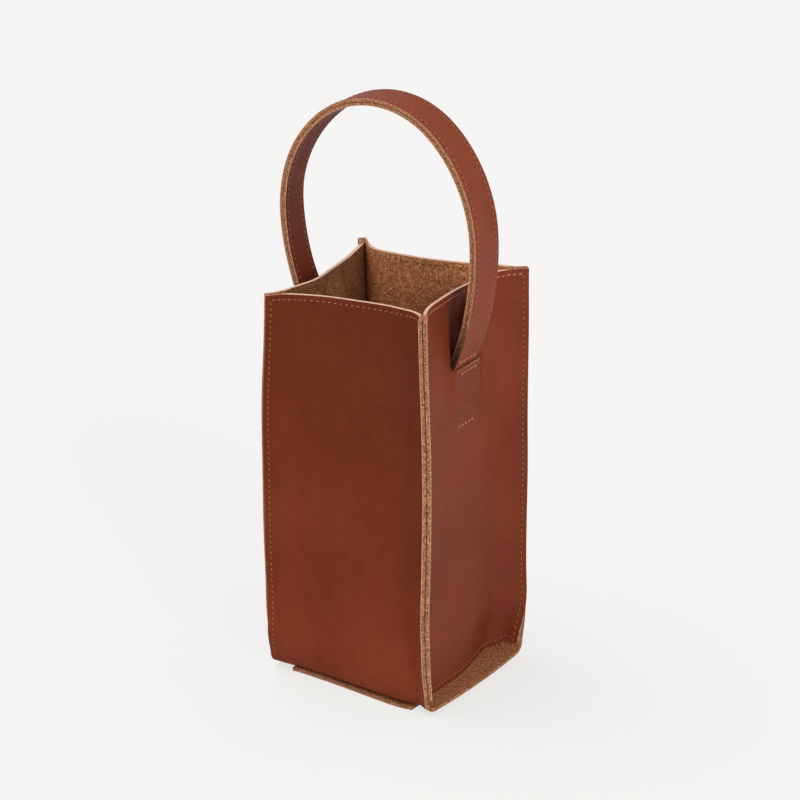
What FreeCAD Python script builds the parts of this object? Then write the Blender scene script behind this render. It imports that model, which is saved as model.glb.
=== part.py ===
import FreeCAD, Part
import math
import os

# Leather bottle carrier: a folded strip makes the front, base and back, two panels make
# the sides, and the four corner seams stand outwards, flesh side to flesh side. A strap
# of two layers goes through a slit in each side panel and arches over the mouth.
# Millimetres, Z up, the front faces -Y, the origin is under the middle of the sole.

# Leather and walls
leather = 2.4              # thickness of each layer
rim_height = 250.0         # cut top edge of the walls above the floor
flat_half = 34.0           # half of the flat middle of an even wall
bend_run = 20.0            # leather that curves from there to a seam
seam_run = 7.0             # straight margin that a seam holds
seam_angle = math.radians(45.0)      # turn of the wrap's margins in the upper walls
front_right_angle = math.radians(61.0)   # the same at the front right, where the side lies flatter
settle_height = 45.0       # above here the seams stand at their full angle
fold_radius = 4.0          # flesh side of the fold between the base and the walls
seam_gap = 0.2             # room between two layers of a seam
fit_gap = 0.3              # room between other pieces that lie on each other
front_sag = 3.4            # the front's middle lies this far in, above the turning seams
right_foot_swell = 6.0     # the right side's foot stands this far out, less up to the strap's ends
turning_count = 6          # lofted spans up to where the seams stand at their full angle
swelling_count = 2         # and from there up to where the swell ends

# Sole
sole_side_margin = 15.0    # bare base on each side of the sole
sole_end_margin = 0.8      # sole's set-back from the faces of front and back
sole_corner_radius = 4.0

# Handle strap
strap_width = 26.0
glue_line = 0.2            # between the two layers
slit_drop = 43.5           # from the rim to where the strap's middle leaves the side panel
tail_drop = 46.5           # from there down to the strap's end
root_radius = 30.0         # bend of the strap as it goes into the slit
handle_spread = 22.3       # from the side panel's face out to the widest place of the handle
widest_rise = 76.5         # from the slit up to the widest place
handle_rise = 154.7        # from the slit up to the outer face of the crown
shoulder_excess = 5.3      # radius of the shoulders beyond the rise that they lead up

# Thread
thread_width = 0.9
thread_height = 0.5
thread_lift = 0.1          # room under a run of thread
stitch_inset = 3.2         # from a cut edge to the line of stitches
stitch_corner_radius = 3.0 # corners of the sole's line of stitches
rim_thread_end = 8.0       # from the side edges of a wall to the ends of its rim line
hem_thread_end = 30.0      # the same for the line along a side panel's foot
box_height = 30.0          # frame of stitches that holds a tail
root_row_rise = 8.0        # cross row above the middle of the slit
groove_depth = 0.8         # channel in the sole for its thread

overrun = 5.0              # cuts go this far past the material

# Worked out from the sizes above
wall_half = flat_half + bend_run + seam_run
base_flesh = 2 * leather
fold_top = base_flesh + fold_radius
side_bottom = base_flesh + fit_gap
half_pack = leather + glue_line / 2
thread_top = thread_lift + thread_height
slit_height = rim_height - slit_drop
tail_bottom = slit_height - tail_drop
straight = math.radians(90.0)


def along_bend(angle):
    """Length along the wall that the bent leather covers."""
    return bend_run * math.sin(angle) / angle if angle else bend_run


def out_of_bend(angle):
    """How far the bent leather leads out of the wall's plane."""
    return bend_run * (1 - math.cos(angle)) / angle if angle else 0


def settled(z):
    """Share of the seams' full turn at height z: none at the fold, all above."""
    share = (z - fold_top) / (settle_height - fold_top)
    share = min(max(share, 0), 1)
    return share * share * (3 - 2 * share)


def level_steps(bottom, top, count):
    """Heights of the sections of a loft with a number of even spans."""
    return [bottom + (top - bottom) * step / count for step in range(count + 1)]


def even_reach(angle):
    """From the middle of an even wall to the end of its margin, which turns by an angle."""
    return flat_half + along_bend(angle) + seam_run * math.cos(angle)


class Wall:
    """A wall in its own plan: first coordinate along it, second out of the carrier."""

    def __init__(self, quarter_turns, low_angle, high_angle, sag=0, foot_swell=0):
        self.turn = quarter_turns * straight
        self.is_side = quarter_turns in (1, 3)
        self.full_angles = {-1: low_angle, 1: high_angle}
        self.sag = sag
        self.foot_swell = foot_swell

    def own_angle(self, full_angle, z):
        """Turn of this wall's margin where the wrap's turns by an angle in the end."""
        wrap = full_angle * settled(z)
        return straight - wrap if self.is_side else wrap

    def middle(self, z):
        """Distance of the flesh side of the flat middle from the carrier's axis."""
        even = self.own_angle(seam_angle, z)
        distance = flat_half + along_bend(straight - even) - out_of_bend(even) + seam_gap
        foot_share = (tail_bottom - z) / (tail_bottom - fold_top)
        foot_share = min(max(foot_share, 0), 1)
        return distance - self.sag * settled(z) + self.foot_swell * foot_share

    def bend(self, sign, z):
        """Turn, radius and start of the bend that leads from the flat middle to a seam."""
        angle = self.own_angle(self.full_angles[sign], z)
        even = self.own_angle(seam_angle, z)
        margin_start = even_reach(even) - seam_run * math.cos(angle)
        if angle == 0:
            return angle, bend_run, margin_start - bend_run
        rise = even_reach(straight - even) + seam_gap - seam_run * math.sin(angle) - self.middle(z)
        radius = rise / (1 - math.cos(angle))
        return angle, radius, margin_start - radius * math.sin(angle)

    def place(self, along, out, z):
        cos, sin = math.cos(self.turn), math.sin(self.turn)
        return FreeCAD.Vector(along * cos + out * sin, along * sin - out * cos, z)

    def breaks(self, z):
        """Runs at which the bends start and end."""
        runs = []
        for sign in (-1, 1):
            angle, radius, _ = self.bend(sign, z)
            bent = radius * angle if angle else radius
            runs += [sign * (wall_half - seam_run), sign * (wall_half - seam_run - bent)]
        return sorted(runs)

    def point(self, run, lift, z):
        """Point at a run along the leather, true to its side edge, and a lift from its flesh side."""
        sign = -1 if run < 0 else 1
        angle, radius, start = self.bend(sign, z)
        bent = radius * angle if angle else radius
        reach = abs(run) - (wall_half - seam_run - bent)
        flesh = self.middle(z)
        if reach <= 0 or angle == 0:
            return self.place(sign * (start + reach), flesh + lift, z)
        turned = min(reach, bent) / radius
        margin = max(reach - bent, 0)
        along = start + (radius - lift) * math.sin(turned) + margin * math.cos(turned)
        out = flesh + radius - (radius - lift) * math.cos(turned) + margin * math.sin(turned)
        return self.place(sign * along, out, z)

    def line(self, start, end, lift, z):
        """Edges along the leather from one run to another at a constant lift."""
        breaks = self.breaks(z)
        inner = [at for at in breaks if min(start, end) < at < max(start, end)]
        runs = [start] + (inner if start < end else inner[::-1]) + [end]
        edges = []
        for first, last in zip(runs, runs[1:]):
            middle = (first + last) / 2
            ends = [self.point(run, lift, z) for run in (first, last)]
            in_bend = breaks[0] < middle < breaks[1] or breaks[2] < middle < breaks[3]
            if in_bend and self.bend(-1 if middle < 0 else 1, z)[0] > 0:
                edges.append(Part.Arc(ends[0], self.point(middle, lift, z), ends[1]).toShape())
            else:
                edges.append(Part.makeLine(*ends))
        return edges

    def section(self, start, end, low, high, z):
        """Closed outline of a layer between two runs and two lifts."""
        edges = self.line(start, end, low, z)
        edges.append(Part.makeLine(self.point(end, low, z), self.point(end, high, z)))
        edges += self.line(end, start, high, z)
        edges.append(Part.makeLine(self.point(start, high, z), self.point(start, low, z)))
        return Part.Wire(edges)

    def prism(self, start, end, low, high, bottom, top):
        """Layer of one section from bottom to top."""
        face = Part.Face(self.section(start, end, low, high, bottom))
        return face.extrude(FreeCAD.Vector(0, 0, top - bottom))

    def sheet(self, start, end, low, high, top):
        """Layer from the fold up, lofted as far as its shape changes and straight above."""
        heights = level_steps(fold_top, settle_height, turning_count)
        if self.foot_swell:
            heights += level_steps(settle_height, tail_bottom, swelling_count)[1:]
        wires = [self.section(start, end, low, high, z) for z in heights]
        lower = Part.makeLoft(wires, True, True)
        return lower.fuse(self.prism(start, end, low, high, heights[-1], top)).removeSplitter()


front = Wall(0, seam_angle, front_right_angle, sag=front_sag)
right = Wall(1, front_right_angle, seam_angle, foot_swell=right_foot_swell)
back = Wall(2, seam_angle, seam_angle)
left = Wall(3, seam_angle, seam_angle)
fold_flesh = front.middle(fold_top)
panel_flesh = right.middle(rim_height)
panel_face = panel_flesh + leather

# Middle line of the strap's right half, from the tail's end to the crown
tail_x = panel_flesh - fit_gap - half_pack
handle_half_width = panel_face + handle_spread
widest_height = slit_height + widest_rise
widest_x = handle_half_width - half_pack
lean = 2 * math.atan((widest_x - panel_face) / widest_rise)
leg_radius = widest_rise / math.sin(lean)
root_end_x = tail_x + root_radius * (1 - math.cos(lean))
root_end_z = slit_height - (panel_face - root_end_x) / math.tan(lean)
root_start_z = root_end_z - root_radius * math.sin(lean)
lip_height = slit_height - (half_pack + fit_gap) / math.sin(lean)   # lower lip of the slit
crown_z = slit_height + handle_rise - half_pack
crown_rise = crown_z - widest_height
shoulder = crown_rise + shoulder_excess
shoulder_x = widest_x - shoulder
crown_radius = (shoulder ** 2 - shoulder_x ** 2 - crown_rise ** 2) / (2 * shoulder_excess)
shoulder_turn = math.atan2(crown_rise - crown_radius, -shoulder_x)


def box(x0, x1, y0, y1, z0, z1):
    return Part.makeBox(x1 - x0, y1 - y0, z1 - z0, FreeCAD.Vector(x0, y0, z0))


def mirror_x(shape):
    return shape.mirror(FreeCAD.Vector(0, 0, 0), FreeCAD.Vector(1, 0, 0))


def arc_edge(centre, radius, start, end):
    """Arc in the YZ plane between two angles from +Y."""
    points = []
    for angle in (start, (start + end) / 2, end):
        offset = FreeCAD.Vector(0, radius * math.cos(angle), radius * math.sin(angle))
        points.append(centre + offset)
    return Part.Arc(*points).toShape()


def base_fold():
    """Flat base with the two folds that turn up into front and back."""
    end = fold_flesh - fold_radius
    edges = []
    for level, radius in ((base_flesh, fold_radius), (base_flesh - leather, fold_radius + leather)):
        for sign, start, stop in ((1, -straight, 0), (-1, -straight, -2 * straight)):
            centre = FreeCAD.Vector(-wall_half, sign * end, fold_top)
            edges.append(arc_edge(centre, radius, start, stop))
        ends = [FreeCAD.Vector(-wall_half, sign * end, level) for sign in (-1, 1)]
        edges.append(Part.makeLine(*ends))
    for sign in (-1, 1):
        ends = [FreeCAD.Vector(-wall_half, sign * (fold_flesh + lift), fold_top) for lift in (0, leather)]
        edges.append(Part.makeLine(*ends))
    profile = Part.Wire(Part.__sortEdges__(edges))
    return Part.Face(profile).extrude(FreeCAD.Vector(2 * wall_half, 0, 0))


def body_wrap():
    """Front, base and back in one strip."""
    walls = [wall.sheet(-wall_half, wall_half, 0, leather, rim_height) for wall in (front, back)]
    return base_fold().fuse(walls).removeSplitter()


def fold_room(sign):
    """Space of one fold, grown by the fit, that a side panel's corner is cut back from."""
    radius = fold_radius - fit_gap
    past = leather + overrun
    inner = sign * (fold_flesh - fold_radius)
    outline = ((inner, 0), (inner, fold_top - radius), (inner + sign * radius, fold_top),
               (inner + sign * (radius + past), fold_top), (inner + sign * (radius + past), 0), (inner, 0))
    corners = [FreeCAD.Vector(-wall_half - overrun, y, z) for y, z in outline]
    return Part.Face(Part.makePolygon(corners)).extrude(FreeCAD.Vector(2 * (wall_half + overrun), 0, 0))


def side_panel(wall):
    """Side panel with the slit that its end of the strap goes through."""
    foot = wall.prism(-wall_half, wall_half, 0, leather, side_bottom, fold_top)
    panel = wall.sheet(-wall_half, wall_half, 0, leather, rim_height).fuse(foot)
    panel = panel.cut([fold_room(-1), fold_room(1)])
    slot = strap_band(-half_pack - fit_gap, half_pack + fit_gap, strap_width / 2 + fit_gap)
    slot = slot.common(box(0, handle_half_width, -strap_width, strap_width, root_start_z, widest_height))
    return panel.cut(slot if wall is right else mirror_x(slot)).removeSplitter()


def strap_stations():
    """Places on the middle line with their headings from upright, arcs with a middle place."""
    def on_arc(x, z, radius, heading):
        return (x + radius * math.cos(heading), z - radius * math.sin(heading), heading)

    def arc(x, z, radius, start, end):
        return [on_arc(x, z, radius, heading) for heading in (start, (start + end) / 2, end)]

    tail_end = (tail_x, tail_bottom, 0)
    root = arc(tail_x + root_radius, root_start_z, -root_radius, 0, lean)
    leg = arc(widest_x - leg_radius, widest_height, leg_radius, lean, 0)
    side = arc(shoulder_x, widest_height, shoulder, 0, -shoulder_turn)
    crown = arc(0, crown_z - crown_radius, crown_radius, -shoulder_turn, -straight)
    return [[tail_end, root[0]], root, [root[2], leg[0]], leg, side, crown]


def strap_line(offset):
    """Edges of the right half at an offset out of the strap's middle."""
    edges = []
    for piece in strap_stations():
        points = []
        for x, z, heading in piece:
            out = FreeCAD.Vector(offset * math.cos(heading), 0, -offset * math.sin(heading))
            points.append(FreeCAD.Vector(x, 0, z) + out)
        edges.append(Part.Arc(*points).toShape() if len(points) > 2 else Part.makeLine(*points))
    return edges


def strap_band(low, high, half_width, middle_y=0):
    """Right half of a layer of the strap between two offsets."""
    inner, outer = strap_line(low), strap_line(high)
    ends = [Part.makeLine(inner[at].Vertexes[at].Point, outer[at].Vertexes[at].Point) for at in (0, -1)]
    profile = Part.Wire(Part.__sortEdges__(inner + outer + ends))
    face = Part.Face(profile)
    face.translate(FreeCAD.Vector(0, middle_y - half_width, 0))
    return face.extrude(FreeCAD.Vector(0, 2 * half_width, 0))


def inside_room():
    """Space inside the side panel's outer face, below the widest height."""
    face = panel_face + thread_top
    return box(-overrun, face, -strap_width, strap_width, 0, widest_height)


def swing_room():
    """Space that the handle's lower ends stay out of as it tilts."""
    face = panel_face + thread_top + fit_gap
    return box(-overrun, face, -strap_width, strap_width, 0, widest_height)


def arch(low, high, half_width, middle_y=0):
    """Layer of the strap over the mouth, between the two slits."""
    half = strap_band(low, high, half_width, middle_y).cut(swing_room())
    return half.fuse(mirror_x(half)).removeSplitter()


def tail(low, high):
    """End of a layer from the slit down the inside of the right panel."""
    return strap_band(low, high, strap_width / 2).common(inside_room())


def edge_thread(sign):
    """Stitches along one edge of the handle, on its outer and inner faces."""
    middle_y = sign * (strap_width / 2 - stitch_inset)
    faces = ((half_pack + thread_lift, half_pack + thread_top),
             (-half_pack - thread_top, -half_pack - thread_lift))
    runs = [arch(low, high, thread_width / 2, middle_y) for low, high in faces]
    return Part.makeCompound(runs)


def frame_bar(start, end):
    """Bar of thread in the plan of a tail's frame, along Y and up, right through in X."""
    span = end - start
    length = math.hypot(span.y, span.z)
    bar = box(0, handle_half_width, 0, length, -thread_width / 2, thread_width / 2)
    bar.rotate(FreeCAD.Vector(0, 0, 0), FreeCAD.Vector(1, 0, 0), math.degrees(math.atan2(span.z, span.y)))
    bar.translate(start)
    return bar


def tail_frame():
    """Four sides and two diagonals of the frame of stitches, right through in X."""
    half = strap_width / 2 - stitch_inset
    top = lip_height - stitch_inset
    low_left, low_right = (FreeCAD.Vector(0, sign * half, top - box_height) for sign in (-1, 1))
    up_left, up_right = (FreeCAD.Vector(0, sign * half, top) for sign in (-1, 1))
    pairs = ((low_left, low_right), (low_right, up_right), (up_right, up_left),
             (up_left, low_left), (low_left, up_right), (low_right, up_left))
    bars = [frame_bar(*pair) for pair in pairs]
    return bars[0].fuse(bars[1:])


def tail_thread():
    """Stitches of the right tail on the panel's face and on the tail's inner layer."""
    frame = tail_frame()
    rows = box(panel_face + thread_lift, panel_face + thread_top, -strap_width, strap_width, 0, rim_height)
    inner = strap_band(-half_pack - thread_top, -half_pack - thread_lift, strap_width / 2)
    return Part.makeCompound([frame.common(rows), frame.common(inner)])


def root_thread():
    """Cross row on the handle just above the right slit."""
    half = strap_width / 2 - stitch_inset - thread_width
    row = strap_band(half_pack + thread_lift, half_pack + thread_top, half)
    level = slit_height + root_row_rise
    return row.common(box(panel_face, handle_half_width, -strap_width, strap_width,
                          level - thread_width / 2, level + thread_width / 2))


def seam_thread(first, first_sign, second, second_sign):
    """Stitches of one corner, a run on each of its two margins."""
    runs = []
    for wall, sign in ((first, first_sign), (second, second_sign)):
        near, far = (wall_half - stitch_inset + side * thread_width / 2 for side in (-1, 1))
        ends = sorted((sign * near, sign * far))
        runs.append(wall.sheet(*ends, leather + thread_lift, leather + thread_top, rim_height - stitch_inset))
    return Part.makeCompound(runs)


def wall_row(wall, end_margin, height):
    """Level row of stitches along the grain side of a wall."""
    reach = wall_half - end_margin
    bottom, top = height - thread_width / 2, height + thread_width / 2
    return wall.prism(-reach, reach, leather + thread_lift, leather + thread_top, bottom, top)


sole_half_x = wall_half - sole_side_margin
sole_half_y = fold_flesh + leather - sole_end_margin


def rounded_plate(half_x, half_y, radius, bottom, top):
    plate = box(-half_x, half_x, -half_y, half_y, bottom, top)
    upright = [edge for edge in plate.Edges if edge.Vertexes[0].Z != edge.Vertexes[1].Z]
    return plate.makeFillet(radius, upright)


def sole_ring(width, bottom, top):
    """Ring along the line of stitches of the sole."""
    insets = (stitch_inset - width / 2, stitch_inset + width / 2)
    outer, inner = (rounded_plate(sole_half_x - inset, sole_half_y - inset, stitch_corner_radius, bottom, top)
                    for inset in insets)
    return outer.cut(inner)


def base_sole():
    """Sole patch with a channel for its thread."""
    plate = rounded_plate(sole_half_x, sole_half_y, sole_corner_radius, 0, leather)
    return plate.cut(sole_ring(thread_width + 2 * thread_lift, -overrun, groove_depth))


def sole_thread():
    top = groove_depth - thread_lift
    return sole_ring(thread_width, top - thread_height, top)


def export(name, shape):
    shape.exportStep(f"parts/{name}.step")


os.makedirs("parts", exist_ok=True)
export("body_wrap", body_wrap())
export("left_side_panel", side_panel(left))
export("right_side_panel", side_panel(right))
export("base_sole", base_sole())
export("sole_thread", sole_thread())

layers = {"outer": (glue_line / 2, half_pack), "inner": (-half_pack, -glue_line / 2)}
for layer, (low, high) in layers.items():
    export(f"handle_{layer}_strap", arch(low, high, strap_width / 2))
    export(f"right_tail_{layer}", tail(low, high))
    export(f"left_tail_{layer}", mirror_x(tail(low, high)))
export("handle_front_edge_thread", edge_thread(-1))
export("handle_back_edge_thread", edge_thread(1))
for name, shape in (("tail", tail_thread()), ("root", root_thread())):
    export(f"right_{name}_thread", shape)
    export(f"left_{name}_thread", mirror_x(shape))

walls = {"front": front, "right": right, "back": back, "left": left}
for name, wall in walls.items():
    export(f"{name}_rim_thread", wall_row(wall, rim_thread_end, rim_height - stitch_inset))
for name in ("left", "right"):
    export(f"{name}_hem_thread", wall_row(walls[name], hem_thread_end, side_bottom + stitch_inset))
corners = (("front", "right"), ("back", "left"), ("front", "left"), ("back", "right"))
for first, second in corners:
    sign = 1 if (first, second) in (("front", "right"), ("back", "left")) else -1
    export(f"{first}_{second}_seam_thread", seam_thread(walls[first], sign, walls[second], -sign))
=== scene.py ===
import bmesh
import bpy
import math
from mathutils import Matrix, Vector, noise
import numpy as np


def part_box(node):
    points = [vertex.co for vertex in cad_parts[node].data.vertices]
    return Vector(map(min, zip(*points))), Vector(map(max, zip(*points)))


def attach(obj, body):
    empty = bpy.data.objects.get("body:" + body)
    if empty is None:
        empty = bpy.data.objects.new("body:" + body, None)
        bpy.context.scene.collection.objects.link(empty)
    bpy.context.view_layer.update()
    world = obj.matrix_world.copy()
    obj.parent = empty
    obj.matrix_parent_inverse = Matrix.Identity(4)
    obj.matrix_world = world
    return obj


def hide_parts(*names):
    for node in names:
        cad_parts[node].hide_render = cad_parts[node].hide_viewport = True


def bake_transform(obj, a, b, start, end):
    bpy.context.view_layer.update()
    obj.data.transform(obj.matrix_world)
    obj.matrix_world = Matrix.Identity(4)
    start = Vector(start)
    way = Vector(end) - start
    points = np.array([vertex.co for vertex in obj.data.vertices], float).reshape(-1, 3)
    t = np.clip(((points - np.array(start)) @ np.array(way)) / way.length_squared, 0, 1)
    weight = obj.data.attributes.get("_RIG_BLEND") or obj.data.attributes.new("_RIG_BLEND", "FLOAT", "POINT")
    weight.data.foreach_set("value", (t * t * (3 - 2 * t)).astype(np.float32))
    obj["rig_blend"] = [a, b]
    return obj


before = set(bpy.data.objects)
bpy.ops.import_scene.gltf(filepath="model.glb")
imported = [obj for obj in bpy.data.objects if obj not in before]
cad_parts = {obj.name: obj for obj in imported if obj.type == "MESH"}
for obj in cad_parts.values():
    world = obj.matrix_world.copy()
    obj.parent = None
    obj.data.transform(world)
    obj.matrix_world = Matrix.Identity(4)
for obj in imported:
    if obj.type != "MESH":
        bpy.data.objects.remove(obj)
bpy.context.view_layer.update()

# Leather and walls; lengths are in metres
MM = 0.001
LEATHER = 2.4 * MM
FLAT_HALF = 34.0 * MM
BEND_RUN = 20.0 * MM
SEAM_RUN = 7.0 * MM
WALL_HALF = FLAT_HALF + BEND_RUN + SEAM_RUN
SEAM_GAP = 0.2 * MM
FIT_GAP = 0.3 * MM
FOLD_RADIUS = 4.0 * MM
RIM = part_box("body_wrap")[1].z
BASE_FLESH = 2 * LEATHER
FOLD_TOP = BASE_FLESH + FOLD_RADIUS
SIDE_BOTTOM = BASE_FLESH + FIT_GAP
STRAIGHT = math.radians(90)
NO_TURN = 1e-6

# Wall: quarter turns, whether it is a side panel, corners at the two ends of its run
WALLS = {
    "front": (0, False, "front_left", "front_right"),
    "right": (1, True, "front_right", "back_right"),
    "back": (2, False, "back_right", "back_left"),
    "left": (3, True, "back_left", "front_left"),
}

# The hide has settled unevenly: turn of the wrap's margin at each corner, the height from which
# the turn is complete, and the share of it at the foot where that isn't 0
SEAM_TURN = {"front_left": math.radians(44), "front_right": math.radians(61),
             "back_left": math.radians(46), "back_right": math.radians(44)}
SETTLED_BY = {"front_left": 45 * MM, "front_right": 42 * MM, "back_left": 45 * MM, "back_right": 45 * MM}
EVEN_TURN = math.radians(45)
FOOT_TURN_SHARE = {"front_right": 0.4}
# Leather that bends beside a corner, at the foot and in the upper wall, where it isn't BEND_RUN
FOOT_BEND = {"front_right": 10 * MM}
FULL_BEND = {("right", "front_right"): 30 * MM}
FOOT_BEND_TO = 60 * MM
# Where each corner seam stands at five heights, and how far each corner of the rim has sunk, all
# in millimetres
SEAM_LEVELS = (8, 30, 60, 150, 250)
SEAM_LINES = {
    "front_left": ((-60.2, -45.3), (-57.3, -54.6), (-57.0, -56.6), (-57.3, -57.6), (-55.0, -55.5)),
    "front_right": ((59.3, -55.8), (57.8, -56.4), (57.1, -56.2), (57.7, -55.7), (54.5, -56.6)),
    "back_left": ((-61.0, 46.9), (-59.4, 53.7), (-57.3, 57.0), (-57.1, 57.0), (-61.0, 57.5)),
    "back_right": ((62.6, 47.9), (61.5, 55.0), (59.1, 58.3), (58.5, 58.0), (58.3, 57.8)),
}
RIM_DROP = {"front_left": 4.5, "front_right": 1.2, "back_left": 0.0, "back_right": -1.5}
# Signs of x and y at each corner
CORNER_SIDES = {"front_left": (-1, -1), "front_right": (1, -1), "back_left": (-1, 1), "back_right": (1, 1)}

# How far each wall bows out of its plane, in millimetres, at shares of its half width: at the rim,
# from a height upwards, and at the foot, up to a height
BOW_AT = (-1, -0.92, -0.7, -0.375, 0, 0.375, 0.7, 0.92, 1)
RIM_BOW = {
    "front": (0, 0, 1.0, -2.0, -2.8, -2.6, 0.0, 0, 0),
    "right": (0, 0, -2.5, -4.0, -4.9, -3.3, -1.0, 0, 0),
    "back": (0, 0, 5.0, 0.0, -3.7, -4.3, -3.0, 0, 0),
    "left": (0, 0, 3.0, 0.5, -1.5, -2.5, 2.5, 0, 0),
}
RIM_BOW_FROM = {"front": 90 * MM, "right": 185 * MM, "back": 90 * MM, "left": 90 * MM}
FOOT_BOW = {
    "front": (0, 0, -1.0, -0.5, 0.7, 2.2, 2.6, 0, 0),
    "right": (0, 0, -0.3, 1.1, 2.7, 0.2, -1.2, 0, 0),
    "back": (0, 0, 0, 0, 0, 0, 0, 0, 0),
    "left": (0, 0, 0.5, 1.5, 2.5, 2.0, 0.5, 0, 0),
}
FOOT_BOW_TO = 110 * MM
BOW_HALF = 57 * MM
BASE_BOW = 1.9 * MM
# Slow ripples of the hide, the same in each run
RIPPLE = 0.6 * MM
RIPPLE_SIZE = 60 * MM
RIPPLE_SEED = 4
noise.seed_set(RIPPLE_SEED)

# Handle strap
STRAP_WIDTH = 26.0 * MM
STRAP_LEATHER = 2.0 * MM
GLUE_LINE = 0.2 * MM
HALF_PACK = STRAP_LEATHER + GLUE_LINE / 2
SLIT_HEIGHT = RIM - 43.5 * MM
TAIL_BOTTOM = SLIT_HEIGHT - 46.5 * MM
ROOT_RADIUS = 30.0 * MM
WIDEST_RISE = 76.5 * MM
SHOULDER_EXCESS = 5.3 * MM
# The handle leans along x: parts that grow with its rise, the square and the cube of it
HANDLE_LEAN = (-15.0 * MM, 4.6 * MM, 4.1 * MM)
# Twist of the left leg and of the right leg; it fades out over the top 1 / TWIST_FADE of the rise
LEG_TWIST = {-1: 0.18, 1: 0.0}
TWIST_FADE = 2.5
# A leg follows its panel up to LEG_FREE above the slit, and bends around the slit when it tilts
LEG_FREE = 45 * MM
BEND_BELOW = 4 * MM
BEND_ABOVE = 34 * MM

# Slit, and how far the strap pushes its lower lip out and its upper lip in
LIP_HEIGHT = SLIT_HEIGHT - 3.0 * MM
LIP_BORDER = 1.5 * MM
SLIT_TOP = LIP_HEIGHT + 3.75 * MM
SLIT_HALF = STRAP_WIDTH / 2 + 0.9 * MM
LOWER_LIP = 3.6 * MM
LOWER_LIP_REACH = 16 * MM
LOWER_SIDE_REACH = 9 * MM
UPPER_LIP = 6.0 * MM
UPPER_FADE = 26 * MM
UPPER_HALF = SLIT_HALF - 3.5 * MM
UPPER_TAPER = 6.0 * MM
UPPER_SIDE_REACH = 5.0 * MM

# Stitches
PITCH = 3.7 * MM
STITCH_INSET = 3.2 * MM
STITCH_SLANT = 0.2
BOX_TOP_INSET = 1.8 * MM
BOX_HEIGHT = 33.8 * MM
ROOT_ROW_RISE = 4.0 * MM
SOLE_GROOVE = 0.5 * MM
# Thread tones: a painted highlight from light above on the side panels' rim rows, the tails' level rows and
# the roots' rows, and painted shade on rows on flesh sides and on the tails' upright and slanted rows.
# Highlighted rows' stitches are also larger
LIT_THREAD_TONE = 1.7
BOLD_SIZE = 1.25
SHADED_THREAD_TONE = 0.6
STITCH_HALF_WIDTH = 0.34 * MM
STITCH_HALF_HEIGHT = 0.32 * MM
STITCH_SHARE = 0.34
STITCH_LIFT = 0.04 * MM
HOLE_SIZE = (0.42 * MM, 0.36 * MM, 0.07 * MM)
PROBE = 0.2 * MM


def smooth(share):
    """Soft step from 0 to 1."""
    share = min(max(share, 0.0), 1.0)
    return share * share * (3 - 2 * share)


def through(knots, values, at):
    """Smooth curve through values at uneven knots."""
    at = min(max(at, knots[0]), knots[-1])
    spot = next(index for index in range(len(knots) - 1) if at <= knots[index + 1])

    def slope(index):
        low, high = max(index - 1, 0), min(index + 1, len(knots) - 1)
        return (values[high] - values[low]) / (knots[high] - knots[low])
    width = knots[spot + 1] - knots[spot]
    share = (at - knots[spot]) / width
    rise = smooth(share)
    start = share * (1 - share) ** 2 * width
    end = share ** 2 * (share - 1) * width
    return values[spot] * (1 - rise) + values[spot + 1] * rise + slope(spot) * start + slope(spot + 1) * end


def along_bend(angle, run=BEND_RUN):
    """Length along the wall that a bent run of leather covers."""
    return run * math.sin(angle) / angle if angle > NO_TURN else run


def out_of_bend(angle, run=BEND_RUN):
    """How far a bent run of leather leads out of the wall's plane."""
    return run * (1 - math.cos(angle)) / angle if angle > NO_TURN else 0.0


def even_reach(angle):
    """From the middle of an even wall to the end of its margin, which turns by an angle."""
    return FLAT_HALF + along_bend(angle) + SEAM_RUN * math.cos(angle)


def even_flesh(own):
    """Distance of an even wall's flesh side from the carrier's axis."""
    return FLAT_HALF + along_bend(STRAIGHT - own) - out_of_bend(own) + SEAM_GAP


def wall_end(name, corner, z):
    """A wall's turn and bend at a corner, and where its flat middle ends: along it and out."""
    foot_share = FOOT_TURN_SHARE.get(corner, 0)
    share = foot_share + (1 - foot_share) * smooth((z - FOLD_TOP) / (SETTLED_BY[corner] - FOLD_TOP))
    own, even = SEAM_TURN[corner] * share, EVEN_TURN * share
    if WALLS[name][1]:
        own, even = STRAIGHT - own, STRAIGHT - even
    foot, full = FOOT_BEND.get(corner, BEND_RUN), FULL_BEND.get((name, corner), BEND_RUN)
    bend = foot + (full - foot) * smooth((z - FOLD_TOP) / FOOT_BEND_TO)
    along = even_reach(even) - SEAM_RUN * math.cos(own) - along_bend(own, bend)
    out = even_reach(STRAIGHT - even) + SEAM_GAP - SEAM_RUN * math.sin(own) - out_of_bend(own, bend)
    return own, bend, along, out


def lip_swell(run, z):
    """The strap pushes the slit's lower lip out and the upper lip in."""
    lower = LOWER_LIP * math.exp(-max(LIP_HEIGHT - z, 0) / LOWER_LIP_REACH)
    lower *= 1 - smooth((abs(run) - SLIT_HALF) / LOWER_SIDE_REACH)
    upper = UPPER_LIP * smooth((RIM - z) / UPPER_FADE)
    upper_half = UPPER_HALF - UPPER_TAPER * max(z - SLIT_TOP, 0) / (RIM - SLIT_TOP)
    upper *= 1 - smooth((abs(run) - upper_half) / UPPER_SIDE_REACH)
    above = smooth((z - LIP_HEIGHT) / (SLIT_TOP - LIP_HEIGHT))
    return lower * (1 - above) - upper * above


def bow(name, along, z):
    """How far a wall stands out of its plane."""
    share = along / BOW_HALF
    rim_from = RIM_BOW_FROM[name]
    rim = through(BOW_AT, RIM_BOW[name], share) * smooth((z - rim_from) / (RIM - rim_from))
    foot = through(BOW_AT, FOOT_BOW[name], share) * (1 - smooth((z - SIDE_BOTTOM) / FOOT_BOW_TO))
    return (rim + foot) * MM


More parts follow.
